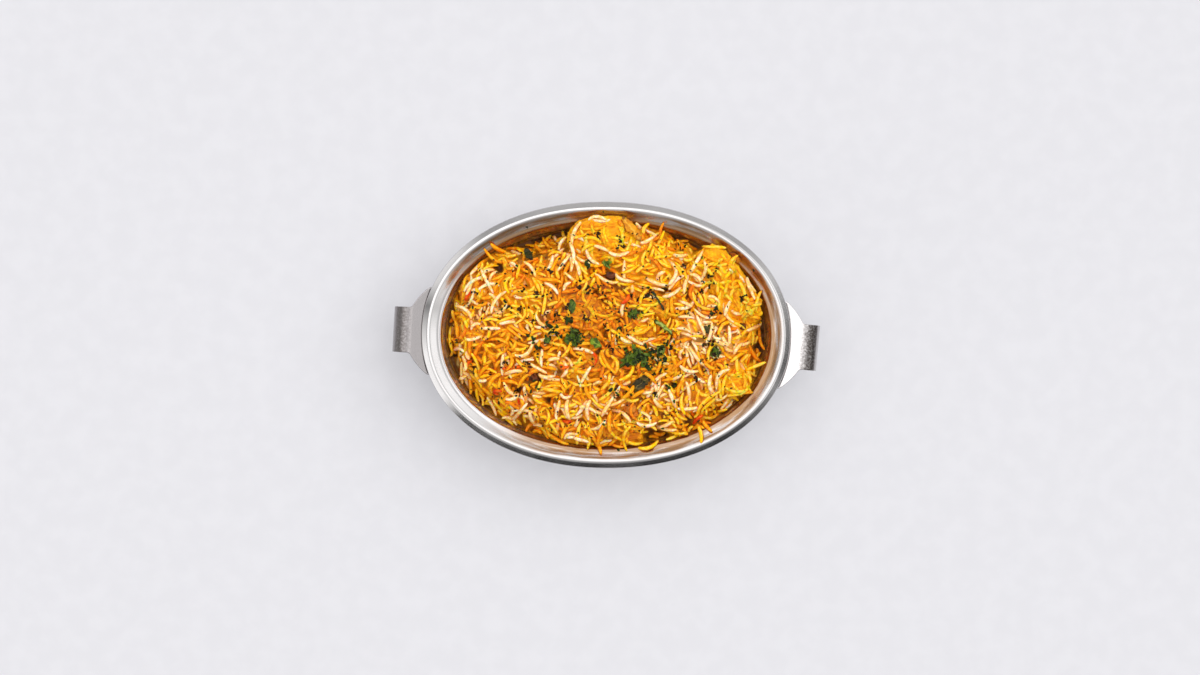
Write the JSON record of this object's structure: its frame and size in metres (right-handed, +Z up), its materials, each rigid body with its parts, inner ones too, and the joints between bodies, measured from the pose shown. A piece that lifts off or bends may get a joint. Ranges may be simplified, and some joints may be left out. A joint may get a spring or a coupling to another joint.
{
  "type": "biryani in an oval steel dish",
  "caption": "Biryani heaped in an oval steel serving dish with a handle at each end: saffron and white long-grain rice with chicken, fried onion and coriander",
  "frame": {"origin": "middle of the dish's flat underside, on the surface that it stands on", "axes": "+X along the rim's long axis towards the right handle, +Y along its short axis towards the top of the picture, +Z up"},
  "size_m": [0.2337, 0.1446, 0.0583],
  "materials": {
    "steel": "polished, with faint brushing and oily smears",
    "rice": "cooked grains, soft sheen, from cream to saffron yellow and orange",
    "chicken_yellow": "moist, oily, saffron yellow",
    "chicken_orange": "moist, oily, orange brown with spice",
    "masala": "fried spice crust, oily",
    "onion": "fried dark brown, oily",
    "onion_pale": "soft, pale olive",
    "amber": "glossy amber",
    "leaf": "wilted coriander, soft sheen",
    "dark_leaf": "dark cooked herb",
    "stem": "light green, moist"
  },
  "bodies": {
    "root": {"dish": "steel", "handle_left": "steel", "handle_right": "steel", "rice": "rice", "chicken_yellow": "chicken_yellow", "chicken_right": "chicken_yellow", "chicken_left": "chicken_orange", "chicken_center": "chicken_orange", "chicken_mid": "chicken_orange", "chicken_low": "chicken_orange", "chicken_bottom": "chicken_orange", "chicken_right_low": "chicken_yellow", "chicken_gold": "chicken_yellow", "chicken_small": "chicken_orange", "chicken_strip": "chicken_orange", "chicken_edge": "chicken_orange", "chicken_wedge": "chicken_yellow", "masala_left": "masala", "onion_brown": "onion", "onion_fried": "onion", "onion_red": "onion", "onion_pale": "onion_pale", "crisp": "masala", "raisin": "onion", "bay_strip": "dark_leaf", "amber_strip": "amber", "leaf_bright": "leaf", "leaf_gray": "leaf", "leaf_left": "leaf", "leaf_light": "stem", "leaf_top_left": "dark_leaf", "leaf_right_thin": "dark_leaf", "coriander_main": "leaf", "coriander_left": "leaf", "coriander_top": "stem", "coriander_mid": "dark_leaf", "coriander_right": "dark_leaf", "stem": "stem", "twig": "dark_leaf"}
  },
  "joints": []
}
